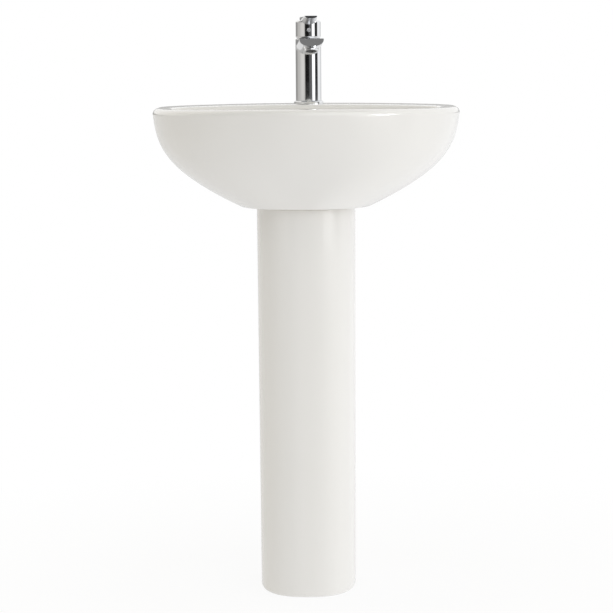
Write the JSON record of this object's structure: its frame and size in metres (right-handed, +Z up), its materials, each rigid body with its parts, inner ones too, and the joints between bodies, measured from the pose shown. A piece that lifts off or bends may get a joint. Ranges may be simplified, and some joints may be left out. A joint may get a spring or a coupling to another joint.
{
  "type": "pedestal sink",
  "caption": "Ceramic wash basin on a full-height column, with a single-lever mixer, a push-plug waste and a bottle trap.",
  "frame": {"origin": "on the floor under the middle of the basin's width and depth", "axes": "+Z up, -Y towards the user, +Y towards the wall, +X to the user's right"},
  "size_m": [0.55, 0.44, 1.008],
  "materials": {
    "ceramic": "gloss white glaze",
    "chrome": "polished",
    "steel": "satin",
    "brass": "machined",
    "copper": null,
    "rubber": "matte black",
    "dark_plastic": "moulded dark grey",
    "white_plastic": "moulded white",
    "disc_ceramic": "lapped",
    "indicator": "grey plug"
  },
  "bodies": {
    "fixed": {"basin": "ceramic", "pedestal": "ceramic", "tap_body": "chrome", "base_ring": "chrome", "base_seal": "rubber", "aerator_housing": "chrome", "aerator_insert": "dark_plastic", "aerator_washer": "rubber", "fixing_stud": "brass", "horseshoe_washer": "rubber", "horseshoe_plate": "brass", "fixing_nut": "brass", "hot_tail": "copper", "cold_tail": "copper", "cartridge_housing": "white_plastic", "cartridge_seals": "rubber", "ceramic_disc_fixed": "disc_ceramic", "cartridge_nut": "brass", "waste_body": "chrome", "waste_top_seal": "rubber", "waste_bottom_seal": "rubber", "waste_backnut": "brass", "plug_spring": "steel", "overflow_ring": "chrome", "trap_body": "white_plastic", "trap_inlet_nut": "white_plastic", "trap_inlet_washer": "rubber", "trap_dip_tube": "white_plastic", "trap_neck_seal": "rubber", "trap_bottle": "white_plastic", "trap_bottle_seal": "rubber", "trap_outlet_nut": "white_plastic", "trap_outlet_washer": "rubber"},
    "carrier": {"spindle_carrier": "white_plastic", "pivot_pin": "steel"},
    "lever": {"handle": "chrome", "spindle": "steel", "grub_screw": "steel", "indicator": "indicator"},
    "valve": {"ceramic_disc_moving": "disc_ceramic", "disc_driver": "white_plastic"},
    "plug": {"plug_cap": "chrome", "plug_seal": "rubber", "plug_spindle": "brass"}
  },
  "joints": [
    {"name": "handle_turn", "type": "hinge", "parent": "fixed", "child": "carrier", "pos_m": [0.004, 0.15, 0.944], "axis": [0, 0, 1], "range_deg": [-50, 50]},
    {"name": "handle_lift", "type": "hinge", "parent": "carrier", "child": "lever", "pos_m": [0.004, 0.15, 0.944], "axis": [-0.9976, -0.0698, 0], "range_deg": [0, 20]},
    {"name": "valve_slide", "type": "slide", "parent": "carrier", "child": "valve", "axis": [0.0698, -0.9976, 0], "range_m": [0, 0.0043]},
    {"name": "plug_press", "type": "slide", "parent": "fixed", "child": "plug", "axis": [0, 0, 1], "range_m": [-0.009, 0], "stiffness_N_per_m": 500, "springref_m": 0.012, "deforming": ["plug_spring"]}
  ],
  "couplings": [
    {"joint": "valve_slide", "follows": "handle_lift", "m_per_rad": 0.012}
  ]
}
